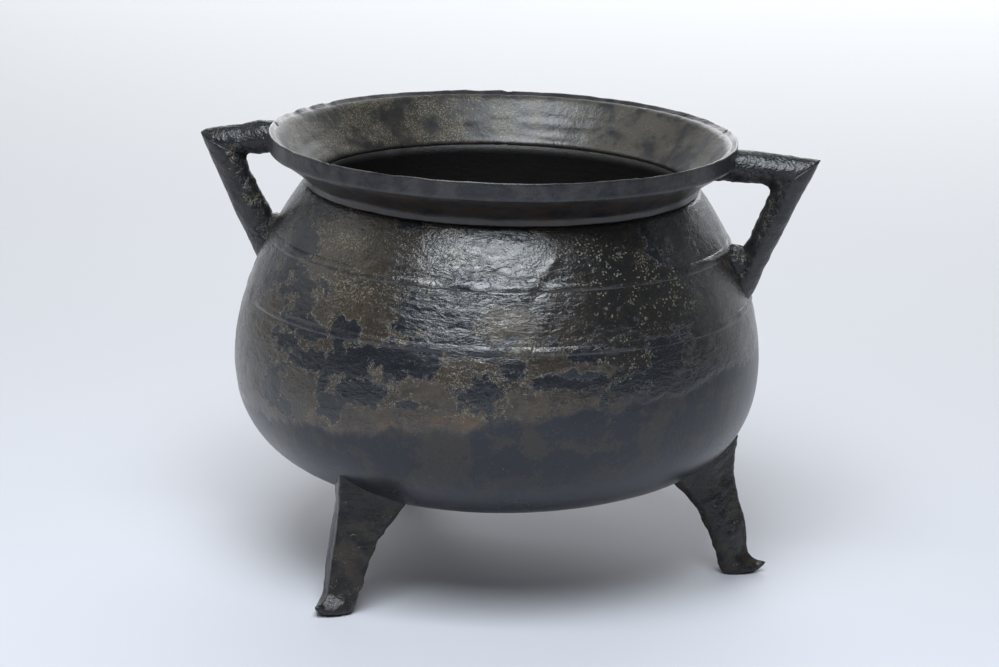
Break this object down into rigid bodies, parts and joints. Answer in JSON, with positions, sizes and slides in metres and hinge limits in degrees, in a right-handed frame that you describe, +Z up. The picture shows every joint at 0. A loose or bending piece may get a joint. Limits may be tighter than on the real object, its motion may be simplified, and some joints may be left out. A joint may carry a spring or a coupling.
{
  "type": "three-legged cooking cauldron",
  "caption": "Cast bronze cauldron with a flared rim, angular side handles and three short legs, for cooking over an open fire.",
  "frame": {"origin": "the pot's axis at floor level, which is the bottom centre of the bounding box to within 2 mm", "axes": "+Z up along the pot's axis, +X through the right handle and the leg below it, +Y to the back"},
  "size_m": [0.3055, 0.26, 0.2164],
  "materials": {
    "shell_bronze": "dark patinated cast bronze, semi-gloss",
    "rim_bronze": "dark patinated cast bronze, worn lighter, satin",
    "handle_bronze": "dark patinated cast bronze, rough inside, worn outside",
    "leg_bronze": "sooty patinated cast bronze, matt",
    "chaplet_bronze": "dark patinated bronze, smooth"
  },
  "bodies": {
    "root": {"belly": "shell_bronze", "rim_flare": "rim_bronze", "lip_band": "rim_bronze", "upper_cordon": "shell_bronze", "lower_cordon": "shell_bronze", "right_handle_arm": "handle_bronze", "right_handle_brace": "handle_bronze", "right_handle_lug": "handle_bronze", "left_handle_arm": "handle_bronze", "left_handle_brace": "handle_bronze", "left_handle_lug": "handle_bronze", "right_leg": "leg_bronze", "front_leg": "leg_bronze", "rear_leg": "leg_bronze", "chaplets": "chaplet_bronze", "gate_stub": "leg_bronze"}
  },
  "joints": []
}
